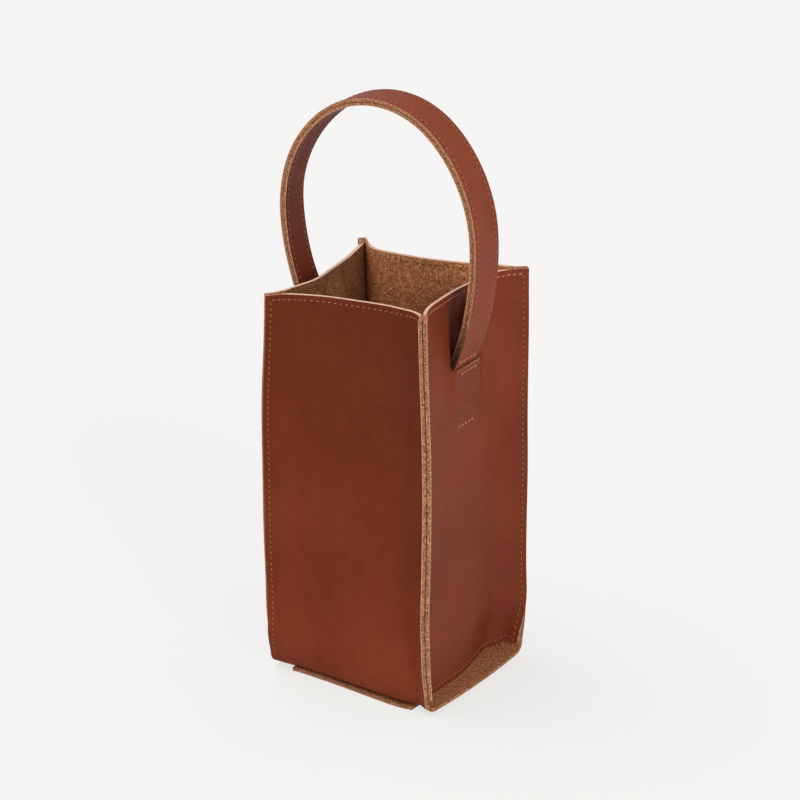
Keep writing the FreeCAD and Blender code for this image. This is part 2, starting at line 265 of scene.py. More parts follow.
def bent_wall(name, run, lift, z):
    """Place along a wall and out of the carrier, before the walls settle."""
    ends = [wall_end(name, corner, z) for corner in WALLS[name][2:]]
    low, high = (WALL_HALF - SEAM_RUN - end[1] for end in ends)
    share = min(max((run + low) / (low + high), 0), 1)
    along = -ends[0][2] + (ends[0][2] + ends[1][2]) * share
    flesh = ends[0][3] + (ends[1][3] - ends[0][3]) * share
    own, bend, _, _ = ends[1 if run > 0 else 0]
    reach = max(run - high, -run - low)
    if reach <= 0:
        return along, flesh + lift
    if own < NO_TURN:
        return along + math.copysign(reach, run), flesh + lift
    radius = bend / own
    turned = min(reach, bend) / radius
    margin = max(reach - bend, 0)
    along += math.copysign((radius - lift) * math.sin(turned) + margin * math.cos(turned), run)
    return along, flesh + radius - (radius - lift) * math.cos(turned) + margin * math.sin(turned)


def turned_plan(name, along, out):
    """x and y of a place along a wall and out of the carrier."""
    turns = WALLS[name][0]
    cos, sin = math.cos(turns * STRAIGHT), math.sin(turns * STRAIGHT)
    return along * cos + out * sin, along * sin - out * cos


CORNER_SHIFTS = {}
SHIFT_DIGITS = 5


def corner_shift(corner, z):
    """How far a corner seam has moved at height z, from its even place to its seam line."""
    z = round(z, SHIFT_DIGITS)
    key = (corner, z)
    if key not in CORNER_SHIFTS:
        wall, end = next((name, 1 if corner == ends[3] else -1) for name, ends in WALLS.items()
                         if not ends[1] and corner in ends)
        even = Vector(turned_plan(wall, *bent_wall(wall, end * WALL_HALF, 0, z)))
        line = [Vector(place) for place in SEAM_LINES[corner]]
        shift = through(SEAM_LEVELS, line, z / MM) * MM - even
        drop = RIM_DROP[corner] * MM * smooth(z / RIM) ** 2
        CORNER_SHIFTS[key] = Vector((shift.x, shift.y, -drop))
    return CORNER_SHIFTS[key]


def settle(point):
    """Moves a point with the settled corners and the hide's slow ripples."""
    moved = point.copy()
    for corner, (side_x, side_y) in CORNER_SIDES.items():
        x_share = (1 + side_x * max(min(point.x / BOW_HALF, 1), -1)) / 2
        y_share = (1 + side_y * max(min(point.y / BOW_HALF, 1), -1)) / 2
        moved += corner_shift(corner, point.z) * (x_share * y_share)
    wave = noise.noise_vector(point / RIPPLE_SIZE) * RIPPLE * smooth((point.z - FOLD_TOP) / RIPPLE_SIZE)
    return moved + Vector((wave.x, wave.y, 0))


def wall_point(name, run, lift, z):
    """Point of a wall at a run along the leather and a lift from its flesh side."""
    along, out = bent_wall(name, run, lift, z)
    out += bow(name, along, z)
    if WALLS[name][1]:
        out += lip_swell(run, z)
    return settle(Vector((*turned_plan(name, along, out), z)))


FOLD_FLESH = even_flesh(0)
PANEL_FACE = even_flesh(EVEN_TURN) + LEATHER
BASE_HALF = FOLD_FLESH - FOLD_RADIUS
FOLD_RUN = FOLD_RADIUS * STRAIGHT
STRIP_HALF = BASE_HALF + FOLD_RUN + RIM - FOLD_TOP


def base_point(run, strip, z):
    """Point of the base, which spans the settled feet of front and back and bows out on the right."""
    front = wall_point("front", run, -FOLD_RADIUS, FOLD_TOP)
    back = wall_point("back", -run, -FOLD_RADIUS, FOLD_TOP)
    share = strip / BASE_HALF
    point = front.lerp(back, (share + 1) / 2)
    bowed = BASE_BOW * max(run / WALL_HALF, 0) * max(1 - share ** 2, 0)
    return Vector((point.x + bowed, point.y, z))


def wrap_point(run, strip, lift):
    """Point of the piece that makes front, base and back; strip runs from front rim to back rim."""
    reach = abs(strip)
    wall = ("front", run) if strip < 0 else ("back", -run)
    if reach >= BASE_HALF + FOLD_RUN:
        return wall_point(*wall, lift, FOLD_TOP + reach - BASE_HALF - FOLD_RUN)
    if reach <= BASE_HALF:
        return base_point(run, strip, BASE_FLESH - lift)
    angle = (reach - BASE_HALF) / FOLD_RADIUS
    low = base_point(run, math.copysign(BASE_HALF, strip), 0)
    point = low.lerp(wall_point(*wall, lift, FOLD_TOP), math.sin(angle))
    point.z = FOLD_TOP - (FOLD_RADIUS + lift) * math.cos(angle)
    return point


PANEL_HALF = (RIM - SIDE_BOTTOM) / 2
FOOT_RISE_FROM = 42 * MM
FOOT_RISE_RUN = 10 * MM


def panel_point(name, run, strip, lift):
    """Point of a side panel: its foot rises at the corners, clear of the base's folds."""
    risen = smooth((abs(run) - FOOT_RISE_FROM) / FOOT_RISE_RUN)
    foot = SIDE_BOTTOM + (FOLD_TOP - SIDE_BOTTOM + FIT_GAP) * risen
    share = (strip / PANEL_HALF + 1) / 2
    return wall_point(name, run, lift, foot + (RIM - foot) * share)


# Middle line of the strap's right half, from the tail's end to the crown
TAIL_X = PANEL_FACE - LEATHER - FIT_GAP - HALF_PACK
WIDEST_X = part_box("handle_outer_strap")[1].x - HALF_PACK
CROWN_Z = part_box("handle_outer_strap")[1].z - HALF_PACK
WIDEST_Z = SLIT_HEIGHT + WIDEST_RISE
LEAN = 2 * math.atan((WIDEST_X - PANEL_FACE) / WIDEST_RISE)
LEG_RADIUS = WIDEST_RISE / math.sin(LEAN)
ROOT_END_X = TAIL_X + ROOT_RADIUS * (1 - math.cos(LEAN))
ROOT_START_Z = SLIT_HEIGHT - (PANEL_FACE - ROOT_END_X) / math.tan(LEAN) - ROOT_RADIUS * math.sin(LEAN)
CROWN_RISE = CROWN_Z - WIDEST_Z
SHOULDER = CROWN_RISE + SHOULDER_EXCESS
SHOULDER_X = WIDEST_X - SHOULDER
CROWN_RADIUS = (SHOULDER ** 2 - SHOULDER_X ** 2 - CROWN_RISE ** 2) / (2 * SHOULDER_EXCESS)
SHOULDER_TURN = math.atan2(CROWN_RISE - CROWN_RADIUS, -SHOULDER_X)
# Lines and arcs of that line: length, start heading, end heading, start or centre, radius
STRAP_PIECES = (
    (ROOT_START_Z - TAIL_BOTTOM, 0, 0, (TAIL_X, TAIL_BOTTOM), 0),
    (ROOT_RADIUS * LEAN, 0, LEAN, (TAIL_X + ROOT_RADIUS, ROOT_START_Z), -ROOT_RADIUS),
    ((PANEL_FACE - ROOT_END_X) / math.sin(LEAN), LEAN, LEAN,
     (ROOT_END_X, ROOT_START_Z + ROOT_RADIUS * math.sin(LEAN)), 0),
    (LEG_RADIUS * LEAN, LEAN, 0, (WIDEST_X - LEG_RADIUS, WIDEST_Z), LEG_RADIUS),
    (SHOULDER * SHOULDER_TURN, 0, -SHOULDER_TURN, (SHOULDER_X, WIDEST_Z), SHOULDER),
    (CROWN_RADIUS * (STRAIGHT - SHOULDER_TURN), -SHOULDER_TURN, -STRAIGHT, (0, CROWN_Z - CROWN_RADIUS),
     CROWN_RADIUS),
)
STRAP_HALF = sum(piece[0] for piece in STRAP_PIECES)
SLIT_DISTANCE = sum(piece[0] for piece in STRAP_PIECES[:3])


def strap_middle(distance):
    """Place and heading of the middle line at a distance from the tail's end."""
    for length, start, end, (x, z), radius in STRAP_PIECES:
        if distance <= length or radius == CROWN_RADIUS:
            break
        distance -= length
    heading = start + (end - start) * min(distance / length, 1)
    if radius:
        return x + radius * math.cos(heading), z - radius * math.sin(heading), heading
    return x + distance * math.sin(heading), z + distance * math.cos(heading), heading


def strap_point(across, strip, offset):
    """Point of the strap: across it, along it from left tail to right tail, out of its middle."""
    side, panel = (-1, "left") if strip < 0 else (1, "right")
    x, z, heading = strap_middle(STRAP_HALF - abs(strip))
    point = Vector((side * (x + offset * math.cos(heading)), across, z - offset * math.sin(heading)))
    foot = Vector((point.x, point.y, min(point.z, SLIT_HEIGHT)))
    with_panel = settle(foot) - foot
    along, flesh_side = bent_wall(panel, side * across, 0, foot.z)
    with_panel.x += side * (flesh_side + LEATHER - PANEL_FACE + bow(panel, along, foot.z))
    held = 1 - smooth((point.z - SLIT_HEIGHT) / LEG_FREE)
    rise = max((point.z - SLIT_HEIGHT) / (CROWN_Z - SLIT_HEIGHT), 0)
    lean = sum(part * rise ** (power + 1) for power, part in enumerate(HANDLE_LEAN))
    twist = across * LEG_TWIST[side] * min((1 - rise) * TWIST_FADE, 1) * (1 - held)
    return point + with_panel * held + Vector((lean - twist, 0, 0))


SHARP_FROM = math.radians(38)


def finish_mesh(name, bm, materials):
    """Object of a mesh, smooth but for its sharp edges."""
    mesh = bpy.data.meshes.new(name)
    bmesh.ops.recalc_face_normals(bm, faces=bm.faces[:])
    bm.to_mesh(mesh)
    bm.free()
    for material in materials:
        mesh.materials.append(material)
    mesh.shade_smooth()
    mesh.set_sharp_from_angle(angle=SHARP_FROM)
    piece = bpy.data.objects.new(name, mesh)
    bpy.context.scene.collection.objects.link(piece)
    return piece


# Cut edges: rounding towards each side, fray, a painted highlight from light above on the rims and the
# slits' lower lips, and painted shade on the slits' other cut edges
EDGE_CUTS = 4
GRAIN_ROUND = 0.35 * MM
FLESH_ROUND = 0.12 * MM
ROUND_POWER = 4
CUT_FRAY = 0.14 * MM
FRAY_SIZE = 0.9 * MM
RIM_PAINTED_HIGHLIGHT = 1.0
LIP_PAINTED_HIGHLIGHT = 0.25
# Painted shade on the slits' cut edges above the lower lip
SLIT_CUT_SHADE = 0.3

# A sheet's depth is 0 on its grain side and 1 on its flesh side
# The two tone layers also carry painted light and shade, and the last layer a painted highlight on cut edges
SHEET_LAYERS = ("run", "strip", "depth", "tone", "cut_tone_and_shade", "painted_highlight")
MID_DEPTH = 0.5
NEAR_FACE = 0.01
AT_EDGE = 0.999


def cut_sheet(half_width, half_length, columns, rows, hole):
    """Flat sheet with its hole and its thickness, and the vertices on its cut edges."""
    bm = bmesh.new()
    run, strip, depth = [bm.verts.layers.float.new(layer) for layer in SHEET_LAYERS][:3]
    bmesh.ops.create_grid(bm, x_segments=columns, y_segments=rows, size=1)
    for vert in bm.verts:
        vert[run], vert[strip] = vert.co.x * half_width, vert.co.y * half_length
    if hole:
        cut = [face for face in bm.faces if hole(face.calc_center_median())]
        bmesh.ops.delete(bm, geom=cut, context="FACES")
    made = bmesh.ops.extrude_face_region(bm, geom=bm.faces[:], use_keep_orig=True)
    for vert in made["geom"]:
        if isinstance(vert, bmesh.types.BMVert):
            vert[depth] = 1
    across = [edge for edge in bm.edges
              if abs(edge.verts[0][depth] - edge.verts[1][depth]) > MID_DEPTH]
    cut_edge = {vert for edge in across for vert in edge.verts}
    divided = bmesh.ops.subdivide_edges(bm, edges=across, cuts=EDGE_CUTS, use_grid_fill=True)
    cut_edge |= {vert for vert in divided["geom_inner"] if isinstance(vert, bmesh.types.BMVert)}
    return bm, cut_edge


def leather_sheet(name, hide, half_width, half_length, columns, rows, place, tones, hole=None, lip=0.0):
    """Sheet of leather, cut flat and bent to shape by place(run, strip, depth). tones(strip) gives
    the tones of its grain side, flesh side and cut edges, which on some pieces also paint light and
    shade. hole(centre) picks the cells of a slit, and lip is the place along the strip where the
    slit's lower lip ends; the lower lip's cut edge gets a painted highlight and the slit's other cut
    edges painted shade."""
    bm, cut_edge = cut_sheet(half_width, half_length, columns, rows, hole)
    run, strip, depth, tone, cut_tone_and_shade, painted_highlight = (bm.verts.layers.float[layer] for layer in SHEET_LAYERS)
    for vert in bm.verts:
        at_run, at_strip, at_depth = vert[run], vert[strip], vert[depth]
        nearer_grain = at_depth < MID_DEPTH
        slit_shade = 1
        if vert in cut_edge:
            at_side = abs(at_run) > half_width * AT_EDGE
            at_end = abs(at_strip) > half_length * AT_EDGE
            # Painted highlight on the rims' cut edges and on the slits' lower lips, and painted shade on the
            # slits' other cut edges
            if at_end and hide in ("wrap", "panel"):
                to_seam = smooth((abs(at_run) - FLAT_HALF - BEND_RUN / 2) / SEAM_RUN)
                vert[painted_highlight] = RIM_PAINTED_HIGHLIGHT * (1 - to_seam)
            elif hole and abs(at_run) < SLIT_HALF + SEAM_RUN:
                if at_strip < lip:
                    vert[painted_highlight] = LIP_PAINTED_HIGHLIGHT
                else:
                    # painted shade on the slit's cut edges above the lower lip
                    slit_shade = SLIT_CUT_SHADE
            rounding = GRAIN_ROUND if nearer_grain else FLESH_ROUND
            back = rounding * abs(2 * at_depth - 1) ** ROUND_POWER
            back += CUT_FRAY * noise.noise(Vector((at_run, at_strip, at_depth * LEATHER)) / FRAY_SIZE)
            if at_side:
                at_run -= math.copysign(back, at_run)
            if at_end:
                at_strip -= math.copysign(back, at_strip)
        vert.co = place(at_run, at_strip, at_depth)
        # The tones paint light and shade on some pieces as well as giving the hide's own tone
        grain_tone_and_light, flesh_tone_and_light, edge_tone_and_shade = tones(at_strip)
        vert[cut_tone_and_shade] = edge_tone_and_shade * slit_shade
        vert[tone] = grain_tone_and_light if nearer_grain else flesh_tone_and_light
    uv = bm.loops.layers.uv.new("cut")
    for face in bm.faces:
        depths = [vert[depth] for vert in face.verts]
        on_grain, on_flesh = max(depths) < NEAR_FACE, min(depths) > 1 - NEAR_FACE
        face.material_index = 0 if on_grain else 1 if on_flesh else 2
        for loop in face.loops:
            loop[uv].uv = (loop.vert[run], loop.vert[strip])
    return finish_mesh(name, bm, (GRAINS[hide], FLESH, RAW_EDGE))


POLES_ALONG = Matrix.Rotation(STRAIGHT, 4, "Y")


def stitch_shapes():
    """One stitch and one dark spot of painted shade for an awl hole, to be set along every row."""
    shapes = []
    for name in ("stitch", "awl_hole_shade"):
        bm = bmesh.new()
        if name == "stitch":
            bmesh.ops.create_uvsphere(bm, u_segments=8, v_segments=6, radius=1, matrix=POLES_ALONG)
        else:
            bmesh.ops.create_icosphere(bm, subdivisions=1, radius=1)
            for face in bm.faces:
                face.material_index = 1
        shape = bpy.data.meshes.new(name)
        bm.to_mesh(shape)
        bm.free()
        shapes.append(shape)
    return shapes


STITCH, HOLE_SHADE_SPOT = stitch_shapes()


def set_shape(bm, shape, matrix):
    """Adds a copy of a shape to a mesh."""
    placed = shape.copy()
    placed.transform(matrix)
    bm.from_mesh(placed)
    bpy.data.meshes.remove(placed)


def stitch_row(bm, length, surface, holes=True, tone=1.0):
    """Row of stitches along surface(distance, lift), with dark spots of painted shade for awl holes between
    them where holes is set; the thread of a row with the painted-highlight tone stands higher."""
    tone_layer = bm.verts.layers.float["tone"]
    first = len(bm.verts)
    stitch_size = BOLD_SIZE if tone == LIT_THREAD_TONE else 1
    count = max(int(length / PITCH), 1)
    step = length / count
    for at in range(count):
        middle = (at + 0.5) * step
        point = surface(middle, 0)
        along = (surface(middle + PROBE, 0) - surface(middle - PROBE, 0)).normalized()
        out = (surface(middle, PROBE) - point).normalized()
        turned = (along + out.cross(along) * STITCH_SLANT).normalized()
        facing = Matrix((turned, out.cross(turned), out)).transposed().to_4x4()
        size = Matrix.Diagonal((STITCH_SHARE * step, stitch_size * STITCH_HALF_WIDTH,
                                stitch_size * STITCH_HALF_HEIGHT, 1))
        set_shape(bm, STITCH, Matrix.Translation(point + out * STITCH_LIFT) @ facing @ size)
        if holes:
            size = Matrix.Diagonal((*HOLE_SIZE, 1))
            set_shape(bm, HOLE_SHADE_SPOT, Matrix.Translation(point + along * step / 2) @ facing @ size)
    bm.verts.ensure_lookup_table()
    for vert in bm.verts[first:]:
        vert[tone_layer] = tone


def add_thread(name, node, rows, moving=False):
    """Piece of thread from its rows of stitches; it stands for a node."""
    bm = bmesh.new()
    bm.verts.layers.float.new("tone")
    for row in rows:
        stitch_row(bm, *row)
    piece = finish_mesh(name, bm, (THREAD, AWL_HOLE_SHADE))
    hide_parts(node)
    if moving:
        bend_with_handle(piece)
    else:
        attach(piece, "carrier")


# Materials
LOOK = (("Color", "NodeSocketColor"), ("Roughness", "NodeSocketFloat"), ("Height", "NodeSocketFloat"))
# Sockets of a mix node that blends colours
MIX_FACTOR, MIX_FIRST, MIX_SECOND, MIX_RESULT = 0, 6, 7, 2
# Where the values of a noise texture mostly lie
NOISE_LOW, NOISE_HIGH = 0.3, 0.7
PLAIN_SPECULAR = 0.1


def new_look(name):
    """Group that gives a look's colour, roughness and height, with its output and its place."""
    tree = bpy.data.node_groups.new(name, "ShaderNodeTree")
    for socket, kind in LOOK:
        tree.interface.new_socket(name=socket, in_out="OUTPUT", socket_type=kind)
    place = tree.nodes.new("ShaderNodeTexCoord").outputs["Object"]
    return tree, tree.nodes.new("NodeGroupOutput"), place


def look_from(tree, out, colour, roughness, height):
    """The group, with its three results linked."""
    for (socket, _), result in zip(LOOK, (colour, roughness, height)):
        tree.links.new(result, out.inputs[socket])
    return tree


def noise_at(tree, vector, scale, detail, roughness):
    texture = tree.nodes.new("ShaderNodeTexNoise")
    texture.inputs["Scale"].default_value = scale
    texture.inputs["Detail"].default_value = detail
    texture.inputs["Roughness"].default_value = roughness
    tree.links.new(vector, texture.inputs["Vector"])
    return texture.outputs["Fac"]


def weigh(tree, first, second, share):
    """Blend of two values; share is the second one's."""
    mix = tree.nodes.new("ShaderNodeMix")
    mix.inputs["Factor"].default_value = share
    tree.links.new(first, mix.inputs["A"])
    tree.links.new(second, mix.inputs["B"])
    return mix.outputs["Result"]


def ramp(tree, value, stops):
    """Colour at a value, from stops of position and colour."""
    colours = tree.nodes.new("ShaderNodeValToRGB")
    elements = colours.color_ramp.elements
    while len(elements) < len(stops):
        elements.new(0.5)
    for element, (position, colour) in zip(elements, stops):
        element.position, element.color = position, (*colour, 1)
    tree.links.new(value, colours.inputs["Fac"])
    return colours.outputs["Color"]


def ranged(tree, value, low, high):
    """A noise's value spread from low to high."""
    scaled = tree.nodes.new("ShaderNodeMapRange")
    scaled.inputs["From Min"].default_value = NOISE_LOW
    scaled.inputs["From Max"].default_value = NOISE_HIGH
    scaled.inputs["To Min"].default_value = low
    scaled.inputs["To Max"].default_value = high
    tree.links.new(value, scaled.inputs["Value"])
    return scaled.outputs["Result"]


def carried(tree, layer):
    """Outputs of a number that the piece of hide carries."""
    attribute = tree.nodes.new("ShaderNodeAttribute")
    attribute.attribute_name = layer
    return attribute.outputs


def toned(tree, colour, layer):
    """Colour times a tone that the piece of hide carries, which on some pieces includes painted light and
    shade.
    """
    product = tree.nodes.new("ShaderNodeMix")
    product.data_type, product.blend_type = "RGBA", "MULTIPLY"
    product.inputs[MIX_FACTOR].default_value = 1
    tree.links.new(colour, product.inputs[MIX_FIRST])
    tree.links.new(carried(tree, layer)["Color"], product.inputs[MIX_SECOND])
    return product.outputs[MIX_RESULT]


def grain_look():
    """Smooth dyed grain: slow clouds of tone, small patches and fine pores."""
    tree, out, place = new_look("grain_look")
    clouds = noise_at(tree, place, scale=17, detail=3, roughness=0.5)
    patches = noise_at(tree, place, scale=130, detail=3, roughness=0.55)
    pores = noise_at(tree, place, scale=2300, detail=2, roughness=0.6)
    tone = weigh(tree, weigh(tree, clouds, patches, share=0.28), pores, share=0.14)
    colour = ramp(tree, tone, ((0.30, (0.165, 0.030, 0.0110)), (0.50, (0.206, 0.039, 0.0155)),
                               (0.70, (0.245, 0.050, 0.0205))))
    return look_from(tree, out, toned(tree, colour, "tone"), ranged(tree, patches, low=0.48, high=0.62),
                     weigh(tree, pores, patches, share=0.4))


def flesh_look():
    """Suede nap: clumps of short fibres."""
    tree, out, place = new_look("flesh_look")
    fibres = noise_at(tree, place, scale=1500, detail=4, roughness=0.7)
    clumps = noise_at(tree, place, scale=650, detail=2, roughness=0.6)
    nap = weigh(tree, fibres, clumps, share=0.4)
    colour = ramp(tree, nap, ((0.38, (0.14, 0.052, 0.021)), (0.5, (0.45, 0.183, 0.080)),
                              (0.62, (0.82, 0.38, 0.18))))
    return look_from(tree, out, toned(tree, colour, "tone"), ranged(tree, nap, low=0.9, high=1.0), nap)


# What shows on a cut edge: layer of the sheet, stops of position and share, colour. A pale line along
# the grain side, a dark line along the flesh side, and a painted highlight from light above on the rims and
# the slits' lower lips
EDGE_BORDERS = (
    ("depth", ((0.0, 0.9), (0.2, 0.0)), (0.78, 0.44, 0.28)),
    ("depth", ((0.8, 0.0), (1.0, 0.55)), (0.03, 0.01, 0.004)),
    ("painted_highlight", ((0.0, 0.0), (1.0, 0.72)), (0.88, 0.60, 0.44)),
)


def edge_look():
    """Cut edge: speckled fibres with their borders."""
    tree, out, place = new_look("edge_look")
    fibres = noise_at(tree, place, scale=1700, detail=3, roughness=0.6)
    clumps = noise_at(tree, place, scale=620, detail=2, roughness=0.6)
    nap = weigh(tree, fibres, clumps, share=0.3)
    colour = ramp(tree, nap, ((0.37, (0.09, 0.032, 0.013)), (0.5, (0.32, 0.130, 0.060)),
                              (0.63, (0.78, 0.40, 0.22))))
    for layer, stops, other in EDGE_BORDERS:
        greys = [(position, (share,) * 3) for position, share in stops]
        mixed = tree.nodes.new("ShaderNodeMix")
        mixed.data_type = "RGBA"
        mixed.inputs[MIX_SECOND].default_value = (*other, 1)
        tree.links.new(ramp(tree, carried(tree, layer)["Fac"], greys), mixed.inputs[MIX_FACTOR])
        tree.links.new(colour, mixed.inputs[MIX_FIRST])
        colour = mixed.outputs[MIX_RESULT]
    return look_from(tree, out, toned(tree, colour, "cut_tone_and_shade"), ranged(tree, nap, low=0.8, high=0.95), nap)


def thread_look():
    """Waxed thread, a little uneven."""
    tree, out, place = new_look("thread_look")
    twist = noise_at(tree, place, scale=1300, detail=2, roughness=0.5)
    colour = ramp(tree, twist, ((0.3, (0.26, 0.085, 0.040)), (0.7, (0.47, 0.19, 0.105))))
    return look_from(tree, out, toned(tree, colour, "tone"), ranged(tree, twist, low=0.5, high=0.7), twist)


def dressed(name, look, specular, bump_depth):
    """Material with a look."""
    material = bpy.data.materials.new(name)
    material.use_nodes = True
    tree = material.node_tree
    shader = tree.nodes["Principled BSDF"]
    shader.inputs["Specular IOR Level"].default_value = specular
    group = tree.nodes.new("ShaderNodeGroup")
    group.node_tree = look
    tree.links.new(group.outputs["Color"], shader.inputs["Base Color"])
    tree.links.new(group.outputs["Roughness"], shader.inputs["Roughness"])
    bump = tree.nodes.new("ShaderNodeBump")
    bump.inputs["Strength"].default_value = 1
    bump.inputs["Distance"].default_value = bump_depth
    tree.links.new(group.outputs["Height"], bump.inputs["Height"])
    tree.links.new(bump.outputs["Normal"], shader.inputs["Normal"])
    return material


def plain(name, colour, roughness):
    """Material of one colour."""
    material = bpy.data.materials.new(name)
    material.use_nodes = True
    shader = material.node_tree.nodes["Principled BSDF"]
    shader.inputs["Base Color"].default_value = (*colour, 1)
    shader.inputs["Roughness"].default_value = roughness
    shader.inputs["Specular IOR Level"].default_value = PLAIN_SPECULAR
    return material


GRAIN_LOOK = grain_look()
GRAIN_SPECULAR = {"wrap": 0.04, "panel": 0.11, "strap_outer": 0.17, "strap_inner": 0.06, "sole": 0.05}
GRAINS = {hide: dressed(f"{hide}_grain", GRAIN_LOOK, specular, bump_depth=0.03 * MM)
          for hide, specular in GRAIN_SPECULAR.items()}
FLESH = dressed("flesh_side", flesh_look(), specular=0.05, bump_depth=0.4 * MM)
RAW_EDGE = dressed("raw_edge", edge_look(), specular=0.1, bump_depth=0.4 * MM)
THREAD = dressed("waxed_thread", thread_look(), specular=0.3, bump_depth=0.1 * MM)
# Awl holes: small near-black spots, painted shade standing for the hollow of each hole
AWL_HOLE_SHADE = plain("awl_hole_shade", (0.018, 0.005, 0.003), roughness=0.9)

# Tones of the grain side, the flesh side and the cut edges: of the wrap at its front rim, base and
# back rim, of the side panels from the foot to the middle and at the rim, and of the strap's layers
# below the slits and above them. Some of them are painted light and shade: the back wall's brighter
# flesh side is painted light, the left panel's darker flesh side is painted shade, the right panel's
# grain, lighter towards the rim, is painted light, and the strap's dark cut edges at and below the
# slits are painted shade
WRAP_TONES_AND_PAINTED_LIGHT = ((0.76, 0.8, 1.1), (1.04, 0.9, 1.1), (1.0, 1.65, 1.1))
# The left panel's flesh side is darkened as painted shade
LEFT_TONES_AND_PAINTED_SHADE = ((1.0, 0.5, 1.1), (1.0, 0.5, 1.1))
# The right panel's grain lightens towards the rim as painted light
RIGHT_TONES_AND_PAINTED_LIGHT = ((0.98, 1.0, 1.1), (1.08, 1.0, 1.1))
# The strap's cut edges are darkened at and below the slits as painted shade
STRAP_TONES_AND_PAINTED_SHADE = {
    "outer": ((1.2, 0.8, 0.12), (1.2, 0.8, 1.15)),
    "inner": ((0.7, 0.8, 0.12), (0.7, 0.8, 1.15)),
}
SOLE_TONES = (0.9, 0.8, 1.0)

# Cells of each sheet, across and along
WRAP_CELLS = (96, 300)
PANEL_CELLS = (96, 196)
SOLE_CELLS = (60, 60)
STRAP_CELLS = (20, 260)


def toned_between(first, second, share):
    """Tones on the way from first to second."""
    share = smooth(share)
    return [start + (end - start) * share for start, end in zip(first, second)]


def wrap_tones_and_painted_light(strip):
    share = (abs(strip) - BASE_HALF) / (STRIP_HALF - BASE_HALF)
    return toned_between(WRAP_TONES_AND_PAINTED_LIGHT[1], WRAP_TONES_AND_PAINTED_LIGHT[0 if strip < 0 else 2], share)


def make_walls():
    def folded(run, strip, depth):
        return wrap_point(run, strip, LEATHER * (1 - depth))
    wrap = leather_sheet("wrap_leather", "wrap", WALL_HALF, STRIP_HALF, *WRAP_CELLS, folded, wrap_tones_and_painted_light)
    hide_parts("body_wrap")
    made = [wrap]

    def slit(centre):
        z = SIDE_BOTTOM + (centre.y + 1) * PANEL_HALF
        return abs(centre.x * WALL_HALF) < SLIT_HALF and LIP_HEIGHT < z < SLIT_TOP
    for name, ends in (("left", LEFT_TONES_AND_PAINTED_SHADE), ("right", RIGHT_TONES_AND_PAINTED_LIGHT)):
        def bent(run, strip, depth, name=name):
            return panel_point(name, run, strip, LEATHER * (1 - depth))

        def tones(strip, ends=ends):
            return toned_between(*ends, strip / PANEL_HALF)
        panel = leather_sheet(f"{name}_panel_leather", "panel", WALL_HALF, PANEL_HALF, *PANEL_CELLS,
                              bent, tones, slit, LIP_HEIGHT + LIP_BORDER - SIDE_BOTTOM - PANEL_HALF)
        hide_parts(f"{name}_side_panel")
        made.append(panel)
    for piece in made:
        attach(piece, "carrier")


SOLE_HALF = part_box("base_sole")[1].xy
SOLE_TAPER = 1.0 * MM


def under_base(run, strip, z):
    """Point of the sole, which is cut a little narrower towards its left end."""
    drawn_in = SOLE_TAPER / SOLE_HALF.y * (1 - run / SOLE_HALF.x) / 2
    return base_point(run, strip * (1 - drawn_in), z)


def sole_point(run, strip, depth):
    return under_base(run, strip, LEATHER * depth)


def make_sole():
    half_x, half_y = SOLE_HALF
    sole = leather_sheet("sole_leather", "sole", half_x, half_y, *SOLE_CELLS, sole_point,
                         lambda strip: SOLE_TONES)
    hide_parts("base_sole")
    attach(sole, "carrier")


def bend_with_handle(piece):
    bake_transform(piece, "carrier", "handle", start=(0, 0, SLIT_HEIGHT - BEND_BELOW),
             end=(0, 0, SLIT_HEIGHT + BEND_ABOVE))


def make_strap():
    sides = {"outer": (HALF_PACK, GLUE_LINE / 2), "inner": (-HALF_PACK, -GLUE_LINE / 2)}
    for layer, (grain_side, flesh_side) in sides.items():
        def bent(run, strip, depth, grain_side=grain_side, flesh_side=flesh_side):
            return strap_point(run, strip, grain_side + (flesh_side - grain_side) * depth)

        def tones(strip, layer=layer):
            past_slit = STRAP_HALF - abs(strip) - SLIT_DISTANCE
            return toned_between(*STRAP_TONES_AND_PAINTED_SHADE[layer], past_slit / LEG_FREE)
        strap = leather_sheet(f"strap_{layer}_layer", f"strap_{layer}", STRAP_WIDTH / 2, STRAP_HALF,
                              *STRAP_CELLS, bent, tones)
        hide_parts(f"handle_{layer}_strap", f"left_tail_{layer}", f"right_tail_{layer}")
        bend_with_handle(strap)


def off_side(grain_side, lift):
    """Lift from the flesh side of a wall to a stitch on its grain side or on its flesh side."""
    return LEATHER + lift if grain_side else -lift


def wall_row(name, grain_side, z, reach):
    """Row along a wall at a height, on its grain side or on its flesh side."""
    def surface(distance, lift):
        return wall_point(name, distance - reach, off_side(grain_side, lift), z)
    # Rows on the flesh side get painted shade, and rim rows on the side panels' grain a painted highlight
    if not grain_side:
        return 2 * reach, surface, False, SHADED_THREAD_TONE
    return 2 * reach, surface, True, LIT_THREAD_TONE if WALLS[name][1] else 1.0


def hem_row(name, grain_side, reach):
    """Row along a side panel's foot."""
    def surface(distance, lift):
        return panel_point(name, distance - reach, STITCH_INSET - PANEL_HALF, off_side(grain_side, lift))
    return 2 * reach, surface, grain_side


def seam_row(name, run):
    """Row down a wall's margin."""
    bottom = FOLD_TOP + FIT_GAP

    def surface(distance, lift):
        return wall_point(name, run, LEATHER + lift, bottom + distance)
    return RIM - STITCH_INSET - bottom, surface


